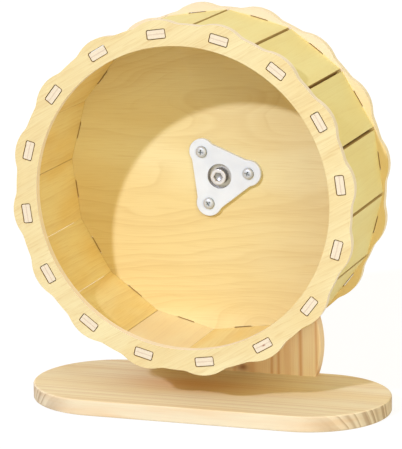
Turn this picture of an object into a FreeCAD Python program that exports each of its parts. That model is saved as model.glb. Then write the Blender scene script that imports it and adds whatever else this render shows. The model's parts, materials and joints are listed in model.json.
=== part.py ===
import FreeCAD, Part

import math
import os

import Sketcher
from FreeCAD import Placement, Rotation, Vector

# Rodent exercise wheel: a drum of plywood slats, open in front, spins on a ball bearing. A bolt through
# the bearing fixes it to an upright, which stands at the back of a base board with half-round ends.
# Millimetres and degrees. Origin at the centre of the base board's underside, +X along the board,
# +Y to the back, +Z up. Angles round the axle run from +Z towards +X.

driving_sizes = {
    # base board and upright
    "base_length": 230.0,
    "base_width": 100.0,
    "base_thickness": 10.0,
    "base_edge_round": 1.2,
    "upright_thickness": 10.0,
    "upright_edge_round": 1.0,
    "foot_radius": 59.8,  # bowed lower part of the upright
    "foot_rise": 20.0,  # centre of that bow above the base board
    "waist_radius": 60.0,  # hollow sides above it
    "head_radius": 38.0,  # round top, centred on the axle
    # drum
    "opening_radius": 92.5,
    "inner_land": 4.4,  # wood between the opening and the slots
    "outer_land": 2.4,  # wood between the slots and the valleys of the rim
    "lobe_height": 3.1,  # rise of each lobe of the rim above the valleys
    "lobe_radius": 23.3,
    "lobe_blend": 12.0,
    "ring_thickness": 5.0,
    "disc_thickness": 5.0,
    "slat_count": 16,
    "slat_thickness": 5.0,
    "slat_span": 72.7,  # between the ring and the disc
    "slat_gap": 0.12,  # between neighbours, at their inner edges
    "tenon_width": 11.1,
    "tenon_setback": 0.15,  # tenon end below the outer face of the ring or disc
    "slot_clearance": 0.55,
    "slot_corner": 1.2,
    "rest_turn": -7.8,  # angle of the first slat at rest
    "ground_gap": 20.8,  # between the rim's lobes and the base board
    "wheel_gap": 8.4,  # between the disc and the upright
    # hub plate and its screws
    "arm_count": 3,
    "arm_circle": 18.9,  # distance of the arms' round ends and of the screws from the axle
    "arm_radius": 8.2,
    "arm_waist": 1.15,  # straight sides of the plate below the arms' common tangent
    "arm_blend": 4.0,
    "plate_thickness": 3.0,
    "plate_edge_round": 0.6,
    "hub_hole_radius": 7.8,
    "hub_wall": 2.5,  # wall of the boss round the bearing
    "boss_lip": 0.5,  # boss past the bearing's back face
    "boss_clearance": 0.15,
    "hub_screw_radius": 1.5,
    "hub_screw_head_radius": 3.6,
    "hub_screw_head_height": 2.2,
    "hub_screw_dome": 1.5,
    "hub_screw_cross": 1.8,  # half length of the cross recess
    "hub_screw_blade": 0.45,  # half width of its two slots
    "hub_screw_recess": 1.3,
    "hub_screw_tip": 0.6,  # screw's end short of the disc's back
    # ball bearing
    "bearing_bore": 6.0,
    "bearing_diameter": 19.0,
    "bearing_width": 6.0,
    "bearing_chamfer": 0.3,
    "ball_count": 7,
    "ball_radius": 1.75,
    "ball_play": 0.07,
    "groove_depth": 0.52,  # of each race, below its land
    "shield_thickness": 0.25,
    "shield_recess": 0.15,
    "shield_gap": 0.2,  # between the shields and the inner race
    "cage_wall": 1.4,
    "cage_width": 4.4,
    "cage_play": 0.12,
    # axle
    "fit_clearance": 0.05,  # radial, of every seat and screw hole
    "bolt_head_radius": 5.0,
    "bolt_head_height": 6.0,
    "bolt_edge": 0.5,
    "socket_across": 5.0,
    "socket_depth": 3.0,
    "bolt_tail": 0.4,  # bolt past the nut
    "spacer_radius": 4.5,
    "washer_radius": 6.0,
    "washer_thickness": 1.2,
    "nut_across": 10.0,
    "nut_height": 5.0,
    "nut_chamfer": 0.35,  # along the axle, at the corners
    # screws under the base board
    "foot_screw_spacing": 70.0,
    "foot_screw_radius": 2.0,
    "foot_screw_head_radius": 4.0,
    "foot_screw_head_height": 2.2,
    "foot_screw_sink": 0.4,  # head below the underside
    "foot_screw_bite": 20.0,  # depth in the upright
    "foot_screw_point": 3.0,
    "foot_screw_cross": 2.2,  # half length of the cross recess
    "foot_screw_blade": 0.5,  # half width of its two slots
    "foot_screw_recess": 1.5,
}

doc = FreeCAD.newDocument("exercise_wheel")
sheet = doc.addObject("Spreadsheet::Sheet", "sizes")
for row, (name, number) in enumerate(driving_sizes.items(), 1):
    sheet.set(f"A{row}", name)
    sheet.set(f"B{row}", str(number))
    sheet.setAlias(f"B{row}", name)
doc.recompute()

# sizes and places that follow from the driving ones, as expressions
slot_circle = "(sizes.opening_radius + sizes.inner_land + sizes.slot_clearance + sizes.slat_thickness / 2)"
rim_radius = f"({slot_circle} + sizes.slat_thickness / 2 + sizes.slot_clearance + sizes.outer_land)"
peak_radius = f"({rim_radius} + sizes.lobe_height)"
lobe_circle = f"({peak_radius} - sizes.lobe_radius)"
slot_width = "(sizes.tenon_width + 2 * sizes.slot_clearance)"
slot_height = "(sizes.slat_thickness + 2 * sizes.slot_clearance)"
tenon_corner = "(sizes.slot_corner - sizes.slot_clearance)"
slat_inner = f"({slot_circle} - sizes.slat_thickness / 2)"
slat_width = f"(2 * {slat_inner} * tan(180 / sizes.slat_count) - sizes.slat_gap)"
axle_height = f"(sizes.base_thickness + sizes.ground_gap + {peak_radius})"
upright_middle = "(sizes.base_width / 2 - sizes.upright_thickness / 2)"
upright_front = "(sizes.base_width / 2 - sizes.upright_thickness)"
upright_back = "(sizes.base_width / 2)"
upright_axle = f"({axle_height} - sizes.base_thickness)"
disc_front = f"({upright_front} - sizes.wheel_gap - sizes.disc_thickness)"
slat_front = f"({disc_front} - sizes.slat_span)"
ring_front = f"({slat_front} - sizes.ring_thickness)"
plate_front = f"({disc_front} - sizes.plate_thickness)"
arm_side = "(sizes.arm_radius - sizes.arm_waist)"
bearing_radius = "(sizes.bearing_diameter / 2)"
boss_radius = f"({bearing_radius} + sizes.hub_wall)"
boss_length = "(sizes.bearing_width + sizes.boss_lip)"
pitch_radius = "((sizes.bearing_bore + sizes.bearing_diameter) / 4)"
groove_radius = "(sizes.ball_radius + sizes.ball_play)"
inner_race_land = f"({pitch_radius} - {groove_radius} + sizes.groove_depth)"
outer_race_land = f"({pitch_radius} + {groove_radius} - sizes.groove_depth)"
bearing_middle = "(sizes.bearing_width / 2)"
bolt_radius = "(sizes.bearing_bore / 2 - sizes.fit_clearance)"
bolt_hole = "(sizes.bearing_bore / 2)"
spacer_front = f"({disc_front} + sizes.bearing_width)"
spacer_length = f"({upright_front} - {spacer_front})"
nut_front = f"({upright_back} + sizes.washer_thickness)"
bolt_length = f"({nut_front} + sizes.nut_height + sizes.bolt_tail - {disc_front})"
hub_screw_hole = "(sizes.hub_screw_radius + sizes.fit_clearance)"
hub_screw_length = "(sizes.plate_thickness + sizes.disc_thickness - sizes.hub_screw_tip)"
foot_screw_hole = "(sizes.foot_screw_radius + sizes.fit_clearance)"
foot_screw_head = "(sizes.foot_screw_head_radius + sizes.fit_clearance)"
foot_screw_neck = "(sizes.foot_screw_sink + sizes.foot_screw_head_height)"
foot_screw_top = "(sizes.base_thickness + sizes.foot_screw_bite)"
foot_screw_place = "(sizes.foot_screw_spacing / 2)"

tolerance = 1e-4  # two lengths this close are taken as equal
parts = []


def value(expression):
    return float(sheet.evalExpression(expression))


def near(first, second):
    return abs(first - second) < tolerance


def along_y(edge):
    return isinstance(edge.Curve, Part.Line) and near(abs(edge.Curve.Direction.y), 1)


def across_y(edge):
    return near(edge.BoundBox.YLength, 0)


def level(edge):
    return near(edge.BoundBox.ZLength, 0)


def from_axle(edge):
    return math.hypot(edge.CenterOfMass.x, edge.CenterOfMass.z)


def new_body(label, y="0", z="0", turn="0"):
    """One piece of the object, placed on the middle plane and turned round its own Y axis."""
    body = doc.addObject("PartDesign::Body", label)
    body.Label = label
    body.Placement = Placement(Vector(), Rotation(Vector(0, 1, 0), 1))
    body.setExpression("Placement.Base.y", y)
    body.setExpression("Placement.Base.z", z)
    body.setExpression("Placement.Rotation.Angle", turn)
    parts.append(body)
    return body


def origin(body, role):
    return next(feature for feature in body.Origin.OriginFeatures if feature.Role == role)


def new_sketch(body, role, offset="0"):
    """A sketch on one of the body's own planes, moved along that plane's normal."""
    sketch = body.newObject("Sketcher::SketchObject", body.Name + "_sketch")
    sketch.AttachmentSupport = [(origin(body, role), "")]
    sketch.MapMode = "FlatFace"
    sketch.setExpression("AttachmentOffset.Base.z", offset)
    return sketch


def fix(sketch, kind, *where, size):
    """A dimension of a sketch that follows the sheet."""
    index = sketch.addConstraint(Sketcher.Constraint(kind, *where, value(size)))
    sketch.setExpression(f"Constraints[{index}]", size)


def fix_point(sketch, element, end, x, y):
    fix(sketch, "DistanceX", -1, 1, element, end, size=x)
    fix(sketch, "DistanceY", -1, 1, element, end, size=y)


def add_circle(sketch, radius, x="0", y="0"):
    circle = Part.Circle(Vector(value(x), value(y), 0), Vector(0, 0, 1), value(radius))
    index = sketch.addGeometry(circle)
    fix_point(sketch, index, 3, x, y)
    fix(sketch, "Radius", index, size=radius)


def add_polygon(sketch, points):
    """A closed outline of straight lines, through points given as pairs of expressions."""
    corners = [Vector(value(x), value(y), 0) for x, y in points]
    for first, last in zip(corners, corners[1:] + corners[:1]):
        sketch.addGeometry(Part.LineSegment(first, last))
    for line, (x, y) in enumerate(points):
        sketch.addConstraint(Sketcher.Constraint("Coincident", line, 2, (line + 1) % len(points), 1))
        fix_point(sketch, line, 1, x, y)


def add_arc(sketch, x, y, radius, start, end):
    circle = Part.Circle(Vector(x, y, 0), Vector(0, 0, 1), radius)
    return sketch.addGeometry(Part.ArcOfCircle(circle, math.radians(start), math.radians(end)))


def add_rounded(sketch, corners, sweep, radius):
    """A closed outline of equal round corners, each given by its centre and first angle, and of the lines
    between them."""
    arcs = []
    for x, y, start in corners:
        arc = add_arc(sketch, value(x), value(y), value(radius), start, start + sweep)
        fix_point(sketch, arc, 3, x, y)
        fix(sketch, "Radius", arc, size=radius)
        arcs.append(arc)
    for arc, following in zip(arcs, arcs[1:] + arcs[:1]):
        ends = sketch.getPoint(arc, 2), sketch.getPoint(following, 1)
        line = sketch.addGeometry(Part.LineSegment(*ends))
        sketch.addConstraint(Sketcher.Constraint("Tangent", arc, 2, line, 1))
        sketch.addConstraint(Sketcher.Constraint("Tangent", line, 2, following, 1))


def add_hexagon(sketch, across):
    """A regular hexagon with two flats level, given the distance across its flats."""
    corner = f"({across} / sqrt(3))"
    turns = range(0, 360, 60)
    add_polygon(sketch, [(f"{corner} * cos({turn})", f"{corner} * sin({turn})") for turn in turns])


def add_cross(sketch, x, reach, half):
    """A cross of four equal arms, given its centre, their reach and half their width."""
    arm = [(reach, f"(-{half})"), (reach, half), (half, half)]
    points = []
    for _ in range(4):
        points += [(f"({x} + {across})", upward) for across, upward in arm]
        arm = [(f"(-{upward})", across) for across, upward in arm]
    add_polygon(sketch, points)


def extrude(body, kind, sketch, length=None, side="One side", reverse=False):
    """A pad or pocket of a sketch: as long as told, or right through where no length is given."""
    feature = body.newObject("PartDesign::" + kind, body.Name + "_" + kind.lower())
    feature.Profile = sketch
    feature.Reversed = reverse
    feature.SideType = side
    if length:
        feature.setExpression("Length", length)
    else:
        feature.Type = "ThroughAll"
    doc.recompute()
    return feature


def turn_profile(body, kind, sketch, axis):
    """A revolution or groove of a sketch round one of the sketch's axes."""
    feature = body.newObject("PartDesign::" + kind, body.Name + "_" + kind.lower())
    feature.Profile = sketch
    feature.ReferenceAxis = (sketch, [axis])
    feature.Angle = 360
    doc.recompute()
    return feature


def repeat_round(body, count, features=None):
    """Copies of features, or of the whole body, spaced evenly round the body's Y axis."""
    pattern = body.newObject("PartDesign::PolarPattern", body.Name + "_pattern")
    if features:
        pattern.Originals = features
    else:
        pattern.TransformMode = "Whole shape"
    pattern.Axis = (origin(body, "Y_Axis"), [""])
    pattern.Angle = 360
    pattern.setExpression("Occurrences", count)
    body.Tip = pattern
    doc.recompute()


def mirror_across(body, features=None):
    """A copy of features, or of the whole body, on the other side of the body's YZ plane."""
    mirror = body.newObject("PartDesign::Mirrored", body.Name + "_mirror")
    if features:
        mirror.Originals = features
    else:
        mirror.TransformMode = "Whole shape"
    mirror.MirrorPlane = (origin(body, "YZ_Plane"), [""])
    body.Tip = mirror
    doc.recompute()


def round_edges(body, radius, chosen):
    """A fillet along those edges of the body for which the test holds."""
    base = body.Tip
    names = [f"Edge{number}" for number, edge in enumerate(base.Shape.Edges, 1) if chosen(edge)]
    fillet = body.newObject("PartDesign::Fillet", body.Name + "_fillet")
    fillet.Base = (base, names)
    fillet.setExpression("Radius", radius)
    body.Tip = fillet
    doc.recompute()


def new_turning(label, y, profile, turn="0"):
    """A piece turned round the axle, from points that give a place along it and a radius."""
    body = new_body(label, y, axle_height, turn)
    sketch = new_sketch(body, "YZ_Plane")
    add_polygon(sketch, profile)
    turn_profile(body, "Revolution", sketch, "H_Axis")
    return body


# base board: a stadium outline with eased edges and two countersunk holes from below
def make_base_board():
    body = new_body("base_board")
    outline = new_sketch(body, "XY_Plane")
    end = "(sizes.base_length / 2 - sizes.base_width / 2)"
    add_rounded(outline, [(end, "0", -90), (f"(-{end})", "0", 90)], 180, "(sizes.base_width / 2)")
    extrude(body, "Pad", outline, "sizes.base_thickness")
    round_edges(body, "sizes.base_edge_round", level)
    hole = new_sketch(body, "YZ_Plane", foot_screw_place)
    hole.setExpression("AttachmentOffset.Base.x", upright_middle)
    profile = [
        ("0", "0"),
        (foot_screw_head, "0"),
        (foot_screw_head, "sizes.foot_screw_sink"),
        (foot_screw_hole, foot_screw_neck),
        (foot_screw_hole, "sizes.base_thickness"),
        ("0", "sizes.base_thickness"),
    ]
    add_polygon(hole, profile)
    mirror_across(body, [turn_profile(body, "Groove", hole, "V_Axis")])


# upright: a bowed foot, hollow waist and round head, all tangent, cut flat where it stands on the base
def add_upright_outline(sketch):
    foot, waist, head = (value("sizes." + name) for name in ("foot_radius", "waist_radius", "head_radius"))
    rise, axle = value("sizes.foot_rise"), value(upright_axle)
    reach = axle - rise
    up = ((foot + waist) ** 2 - (head + waist) ** 2 + reach**2) / (2 * reach)
    out = math.sqrt((foot + waist) ** 2 - up**2)
    stand = math.degrees(math.asin(rise / foot))
    join_low = math.degrees(math.atan2(up, out))
    join_high = math.degrees(math.atan2(up - reach, out))

    foot_right = add_arc(sketch, 0, rise, foot, -stand, join_low)
    waist_right = add_arc(sketch, out, rise + up, waist, 180 + join_high, 180 + join_low)
    top = add_arc(sketch, 0, axle, head, join_high, 180 - join_high)
    waist_left = add_arc(sketch, -out, rise + up, waist, -join_low, -join_high)
    foot_left = add_arc(sketch, 0, rise, foot, 180 - join_low, 180 + stand)
    ends = sketch.getPoint(foot_left, 2), sketch.getPoint(foot_right, 1)
    sole = sketch.addGeometry(Part.LineSegment(*ends))

    for bow in (foot_right, foot_left):
        fix_point(sketch, bow, 3, "0", "sizes.foot_rise")
        fix(sketch, "Radius", bow, size="sizes.foot_radius")
    for hollow in (waist_right, waist_left):
        fix(sketch, "Radius", hollow, size="sizes.waist_radius")
    fix_point(sketch, top, 3, "0", upright_axle)
    fix(sketch, "Radius", top, size="sizes.head_radius")
    joins = [
        ("Tangent", foot_right, 2, waist_right, 2),
        ("Tangent", waist_right, 1, top, 1),
        ("Tangent", top, 2, waist_left, 2),
        ("Tangent", waist_left, 1, foot_left, 1),
        ("Coincident", foot_left, 2, sole, 1),
        ("Coincident", sole, 2, foot_right, 1),
        ("PointOnObject", sole, 1, -1),
        ("PointOnObject", sole, 2, -1),
    ]
    for join in joins:
        sketch.addConstraint(Sketcher.Constraint(*join))


def make_upright():
    body = new_body("upright", upright_middle, "sizes.base_thickness")
    outline = new_sketch(body, "XZ_Plane")
    add_upright_outline(outline)
    extrude(body, "Pad", outline, "sizes.upright_thickness", "Symmetric")
    round_edges(body, "sizes.upright_edge_round", lambda edge: across_y(edge) and not level(edge))
    axle_hole = new_sketch(body, "XZ_Plane")
    add_circle(axle_hole, bolt_hole, "0", upright_axle)
    extrude(body, "Pocket", axle_hole, None, "Symmetric")
    screw_hole = new_sketch(body, "XY_Plane")
    add_circle(screw_hole, foot_screw_hole, foot_screw_place, "0")
    bite = "(sizes.foot_screw_bite + sizes.fit_clearance)"
    mirror_across(body, [extrude(body, "Pocket", screw_hole, bite, reverse=True)])


def make_base_screws():
    body = new_body("base_screws", upright_middle)
    sketch = new_sketch(body, "YZ_Plane", foot_screw_place)
    profile = [
        ("0", "sizes.foot_screw_sink"),
        ("sizes.foot_screw_head_radius", "sizes.foot_screw_sink"),
        ("sizes.foot_screw_radius", foot_screw_neck),
        ("sizes.foot_screw_radius", f"({foot_screw_top} - sizes.foot_screw_point)"),
        ("0", foot_screw_top),
    ]
    add_polygon(sketch, profile)
    turn_profile(body, "Revolution", sketch, "V_Axis")
    recess = new_sketch(body, "XY_Plane", "sizes.foot_screw_sink")
    add_cross(recess, foot_screw_place, "sizes.foot_screw_cross", "sizes.foot_screw_blade")
    extrude(body, "Pocket", recess, "sizes.foot_screw_recess", reverse=True)
    mirror_across(body)


# front ring and rear disc: one scalloped outline, and a slot for each slat's tenon
def add_scalloped_board(body, thickness):
    rim = new_sketch(body, "XZ_Plane")
    add_circle(rim, rim_radius)
    extrude(body, "Pad", rim, thickness, reverse=True)
    lobe = new_sketch(body, "XZ_Plane")
    add_circle(lobe, "sizes.lobe_radius", "0", lobe_circle)
    repeat_round(body, "sizes.slat_count", [extrude(body, "Pad", lobe, thickness, reverse=True)])
    round_edges(body, "sizes.lobe_blend", along_y)


def add_slots(body):
    slot = new_sketch(body, "XZ_Plane")
    side = f"({slot_width} / 2 - sizes.slot_corner)"
    low = f"({slot_circle} - {slot_height} / 2 + sizes.slot_corner)"
    high = f"({slot_circle} + {slot_height} / 2 - sizes.slot_corner)"
    left = f"(-{side})"
    corners = [(side, high, 0), (left, high, 90), (left, low, 180), (side, low, 270)]
    add_rounded(slot, corners, 90, "sizes.slot_corner")
    repeat_round(body, "sizes.slat_count", [extrude(body, "Pocket", slot)])


def make_front_ring():
    body = new_body("front_ring", ring_front, axle_height, "sizes.rest_turn")
    add_scalloped_board(body, "sizes.ring_thickness")
    opening = new_sketch(body, "XZ_Plane")
    add_circle(opening, "sizes.opening_radius")
    extrude(body, "Pocket", opening)
    add_slots(body)


def make_rear_disc():
    body = new_body("rear_disc", disc_front, axle_height, "sizes.rest_turn")
    add_scalloped_board(body, "sizes.disc_thickness")
    boss_hole = new_sketch(body, "XZ_Plane")
    add_circle(boss_hole, f"({boss_radius} + sizes.boss_clearance)")
    extrude(body, "Pocket", boss_hole)
    screw_hole = new_sketch(body, "XZ_Plane")
    add_circle(screw_hole, hub_screw_hole, "sizes.arm_circle", "0")
    repeat_round(body, "sizes.arm_count", [extrude(body, "Pocket", screw_hole)])
    add_slots(body)


# slats: flat boards side by side round the drum, with a round-cornered tenon at each end
def make_slat(number):
    turn = f"sizes.rest_turn + {number} * 360 / sizes.slat_count"
    body = new_body(f"slat_{number + 1:02d}", slat_front, axle_height, turn)
    sketch = new_sketch(body, "XY_Plane", slat_inner)
    side = f"({slat_width} / 2)"
    cheek = "(sizes.tenon_width / 2)"
    front = "(sizes.tenon_setback - sizes.ring_thickness)"
    back = "(sizes.slat_span + sizes.disc_thickness - sizes.tenon_setback)"
    right = [
        (cheek, front),
        (cheek, "0"),
        (side, "0"),
        (side, "sizes.slat_span"),
        (cheek, "sizes.slat_span"),
        (cheek, back),
    ]
    left = [(f"(-{x})", y) for x, y in reversed(right)]
    add_polygon(sketch, right + left)
    extrude(body, "Pad", sketch, "sizes.slat_thickness")
    reach = value(cheek)
    round_edges(body, tenon_corner, lambda edge: along_y(edge) and near(abs(edge.CenterOfMass.x), reach))


# hub plate: straight sides between round arms, and a boss behind that goes through the disc
def make_hub_flange():
    body = new_body("hub_flange", plate_front, axle_height, "sizes.rest_turn")
    plate = new_sketch(body, "XZ_Plane")
    step = "(360 / sizes.arm_count)"
    corners = []
    for arm in range(int(value("sizes.arm_count"))):
        for side in (-1, 1):
            turn = f"({arm} * {step})"
            normal = f"({turn} + {side} * {step} / 2)"
            across = f"(sizes.arm_circle * cos({turn}) + {arm_side} * cos({normal}))"
            upward = f"(sizes.arm_circle * sin({turn}) + {arm_side} * sin({normal}))"
            corners.append((across, upward))
    add_polygon(plate, corners)
    extrude(body, "Pad", plate, "sizes.plate_thickness", reverse=True)
    arm_end = new_sketch(body, "XZ_Plane")
    add_circle(arm_end, "sizes.arm_radius", "sizes.arm_circle", "0")
    arm = extrude(body, "Pad", arm_end, "sizes.plate_thickness", reverse=True)
    repeat_round(body, "sizes.arm_count", [arm])
    tip = value("sizes.arm_circle + sizes.arm_radius")
    round_edges(body, "sizes.arm_blend", lambda edge: along_y(edge) and not near(from_axle(edge), tip))
    round_edges(body, "sizes.plate_edge_round", lambda edge: near(edge.BoundBox.YMax, 0))
    boss = new_sketch(body, "XZ_Plane", "(-sizes.plate_thickness)")
    add_circle(boss, boss_radius)
    extrude(body, "Pad", boss, boss_length, reverse=True)
    seat = new_sketch(body, "XZ_Plane", "(-sizes.plate_thickness)")
    add_circle(seat, f"({bearing_radius} + sizes.fit_clearance)")
    extrude(body, "Pocket", seat)
    hole = new_sketch(body, "XZ_Plane")
    add_circle(hole, "sizes.hub_hole_radius")
    extrude(body, "Pocket", hole)
    screw_hole = new_sketch(body, "XZ_Plane")
    add_circle(screw_hole, hub_screw_hole, "sizes.arm_circle", "0")
    repeat_round(body, "sizes.arm_count", [extrude(body, "Pocket", screw_hole)])


def make_hub_screws():
    body = new_body("hub_screws", plate_front, axle_height, "sizes.rest_turn")
    sketch = new_sketch(body, "YZ_Plane", "sizes.arm_circle")
    head = "(-sizes.hub_screw_head_height)"
    profile = [
        (head, "0"),
        (head, "sizes.hub_screw_head_radius"),
        ("0", "sizes.hub_screw_head_radius"),
        ("0", "sizes.hub_screw_radius"),
        (f"({hub_screw_length} - sizes.hub_screw_radius)", "sizes.hub_screw_radius"),
        (hub_screw_length, "0"),
    ]
    add_polygon(sketch, profile)
    turn_profile(body, "Revolution", sketch, "H_Axis")
    face = value(head)
    round_edges(body, "sizes.hub_screw_dome", lambda edge: near(edge.BoundBox.YMax, face))
    recess = new_sketch(body, "XZ_Plane", "sizes.hub_screw_head_height")
    add_cross(recess, "sizes.arm_circle", "sizes.hub_screw_cross", "sizes.hub_screw_blade")
    extrude(body, "Pocket", recess, "sizes.hub_screw_recess")
    repeat_round(body, "sizes.arm_count")


# ball bearing: two grooved races, balls in a cage between them, and a shield at each face
def make_race(label, land, seat, turn):
    chamfer = "sizes.bearing_chamfer"
    sign = "+" if value(land) > value(seat) else "-"
    eased = f"({seat} {sign} {chamfer})"
    profile = [
        ("0", land),
        ("0", eased),
        (chamfer, seat),
        (f"(sizes.bearing_width - {chamfer})", seat),
        ("sizes.bearing_width", eased),
        ("sizes.bearing_width", land),
    ]
    body = new_turning(label, disc_front, profile, turn)
    groove = new_sketch(body, "YZ_Plane")
    add_circle(groove, groove_radius, bearing_middle, pitch_radius)
    turn_profile(body, "Groove", groove, "H_Axis")


def make_shield(label, front):
    inner = f"({inner_race_land} + sizes.shield_gap)"
    outer = f"({outer_race_land} - sizes.fit_clearance)"
    back = f"({front} + sizes.shield_thickness)"
    profile = [(front, inner), (front, outer), (back, outer), (back, inner)]
    new_turning(label, disc_front, profile, "sizes.rest_turn")


def make_cage():
    half = "(sizes.cage_width / 2)"
    inner = f"({pitch_radius} - sizes.cage_wall / 2)"
    outer = f"({pitch_radius} + sizes.cage_wall / 2)"
    front, back = f"({bearing_middle} - {half})", f"({bearing_middle} + {half})"
    profile = [(front, inner), (front, outer), (back, outer), (back, inner)]
    body = new_turning("bearing_cage", disc_front, profile)
    pocket = new_sketch(body, "XY_Plane")
    add_circle(pocket, "(sizes.ball_radius + sizes.cage_play)", "0", bearing_middle)
    cut = extrude(body, "Pocket", pocket, bearing_radius, reverse=True)
    repeat_round(body, "sizes.ball_count", [cut])


def make_balls():
    body = new_body("bearing_balls", disc_front, axle_height)
    ball = body.newObject("PartDesign::AdditiveSphere", "ball")
    ball.setExpression("Radius", "sizes.ball_radius")
    ball.setExpression("Placement.Base.y", bearing_middle)
    ball.setExpression("Placement.Base.z", pitch_radius)
    doc.recompute()
    repeat_round(body, "sizes.ball_count")


def make_bearing():
    make_race("bearing_inner_race", inner_race_land, bolt_hole, "0")
    make_race("bearing_outer_race", outer_race_land, bearing_radius, "sizes.rest_turn")
    inset = "(sizes.shield_recess + sizes.shield_thickness)"
    make_shield("bearing_shield_front", "sizes.shield_recess")
    make_shield("bearing_shield_rear", f"(sizes.bearing_width - {inset})")
    make_cage()
    make_balls()


# axle: a socket-head bolt from the front, through bearing, spacer and upright, to a washer and nut
def make_bolt():
    head = "(-sizes.bolt_head_height)"
    profile = [
        (head, "0"),
        (head, "sizes.bolt_head_radius"),
        ("0", "sizes.bolt_head_radius"),
        ("0", bolt_radius),
        (f"({bolt_length} - sizes.bolt_edge)", bolt_radius),
        (bolt_length, f"({bolt_radius} - sizes.bolt_edge)"),
        (bolt_length, "0"),
    ]
    body = new_turning("axle_bolt", disc_front, profile)
    face = value(head)
    round_edges(body, "sizes.bolt_edge", lambda edge: near(edge.BoundBox.YMax, face))
    socket = new_sketch(body, "XZ_Plane", "sizes.bolt_head_height")
    add_hexagon(socket, "sizes.socket_across")
    extrude(body, "Pocket", socket, "sizes.socket_depth")


def make_sleeve(label, y, length, radius):
    profile = [("0", bolt_hole), ("0", radius), (length, radius), (length, bolt_hole)]
    new_turning(label, y, profile)


def make_nut():
    body = new_body("axle_nut", nut_front, axle_height)
    outline = new_sketch(body, "XZ_Plane")
    add_hexagon(outline, "sizes.nut_across")
    extrude(body, "Pad", outline, "sizes.nut_height", reverse=True)
    corner = "(sizes.nut_across / sqrt(3))"
    flat = "(sizes.nut_across / 2)"
    far = "sizes.nut_height"
    for face, eased in (("0", "sizes.nut_chamfer"), (far, f"({far} - sizes.nut_chamfer)")):
        chamfer = new_sketch(body, "YZ_Plane")
        add_polygon(chamfer, [(face, flat), (face, corner), (eased, corner)])
        turn_profile(body, "Groove", chamfer, "H_Axis")
    thread = new_sketch(body, "XZ_Plane")
    add_circle(thread, bolt_hole)
    extrude(body, "Pocket", thread)


make_base_board()
make_upright()
make_base_screws()
make_front_ring()
make_rear_disc()
for slat in range(int(value("sizes.slat_count"))):
    make_slat(slat)
make_hub_flange()
make_hub_screws()
make_bearing()
make_bolt()
make_sleeve("axle_spacer", spacer_front, spacer_length, "sizes.spacer_radius")
make_sleeve("axle_washer", upright_back, "sizes.washer_thickness", "sizes.washer_radius")
make_nut()
doc.recompute()

failed = [item.Name for item in doc.Objects if {"Invalid", "Error"} & set(item.State)]
if failed:
    raise RuntimeError("features that failed: " + ", ".join(failed))
for part in parts:
    if part.Shape.isNull() or not part.Shape.isValid():
        raise RuntimeError("bad shape: " + part.Label)
os.makedirs("parts", exist_ok=True)
for part in parts:
    part.Shape.exportStep(f"parts/{part.Label}.step")
    print(part.Label, len(part.Shape.Solids), "solids", round(part.Shape.Volume, 1), "mm3")
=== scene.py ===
import json
import math

import bmesh
import bpy
from mathutils import Matrix, Vector


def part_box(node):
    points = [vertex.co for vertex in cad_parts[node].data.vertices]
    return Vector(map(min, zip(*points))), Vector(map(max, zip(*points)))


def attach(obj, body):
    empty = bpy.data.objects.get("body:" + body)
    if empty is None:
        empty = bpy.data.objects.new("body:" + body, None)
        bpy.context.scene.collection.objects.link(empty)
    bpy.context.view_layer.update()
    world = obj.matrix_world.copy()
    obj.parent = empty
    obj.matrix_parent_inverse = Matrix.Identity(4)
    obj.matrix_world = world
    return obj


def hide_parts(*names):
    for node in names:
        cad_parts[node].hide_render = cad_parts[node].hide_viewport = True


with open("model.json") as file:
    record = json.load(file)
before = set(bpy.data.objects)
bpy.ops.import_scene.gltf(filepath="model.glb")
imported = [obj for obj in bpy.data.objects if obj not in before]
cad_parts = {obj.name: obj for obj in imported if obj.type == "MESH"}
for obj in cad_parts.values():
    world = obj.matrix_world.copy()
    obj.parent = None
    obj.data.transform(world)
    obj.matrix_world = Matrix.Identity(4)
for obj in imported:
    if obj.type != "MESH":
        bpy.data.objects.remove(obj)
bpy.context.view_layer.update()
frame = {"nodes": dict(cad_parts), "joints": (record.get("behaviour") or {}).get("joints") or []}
nodes = frame["nodes"]
axle = Vector(next(joint for joint in frame["joints"] if joint["name"] == "wheel_spin")["pos_m"])
print("frame:", len(nodes), "solids, axle at", [round(value, 4) for value in axle])

millimetre = 0.001


def lowOf(node, axis):  # lowest place of a solid along an axis, in millimetres
    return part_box(node)[0]["XYZ".index(axis)] / millimetre


def highOf(node, axis):
    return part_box(node)[1]["XYZ".index(axis)] / millimetre


def radiusOf(node):  # of a round solid about the axle's direction
    return (highOf(node, "X") - lowOf(node, "X")) / 2


def middleOf(node):
    low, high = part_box(node)
    return (Vector(low) + Vector(high)) / 2


def turnOf(place):  # angle round the axle, from +Z towards +X
    return math.atan2(place.x - axle.x, place.z - axle.z)


# shader graphs, with every length in millimetres

def paint(red, green, blue):  # 0 to 255, as a colour picker shows it
    def linear(value):
        value /= 255
        return value / 12.92 if value <= 0.04045 else ((value + 0.055) / 1.055) ** 2.4
    return (linear(red), linear(green), linear(blue), 1.0)


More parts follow.
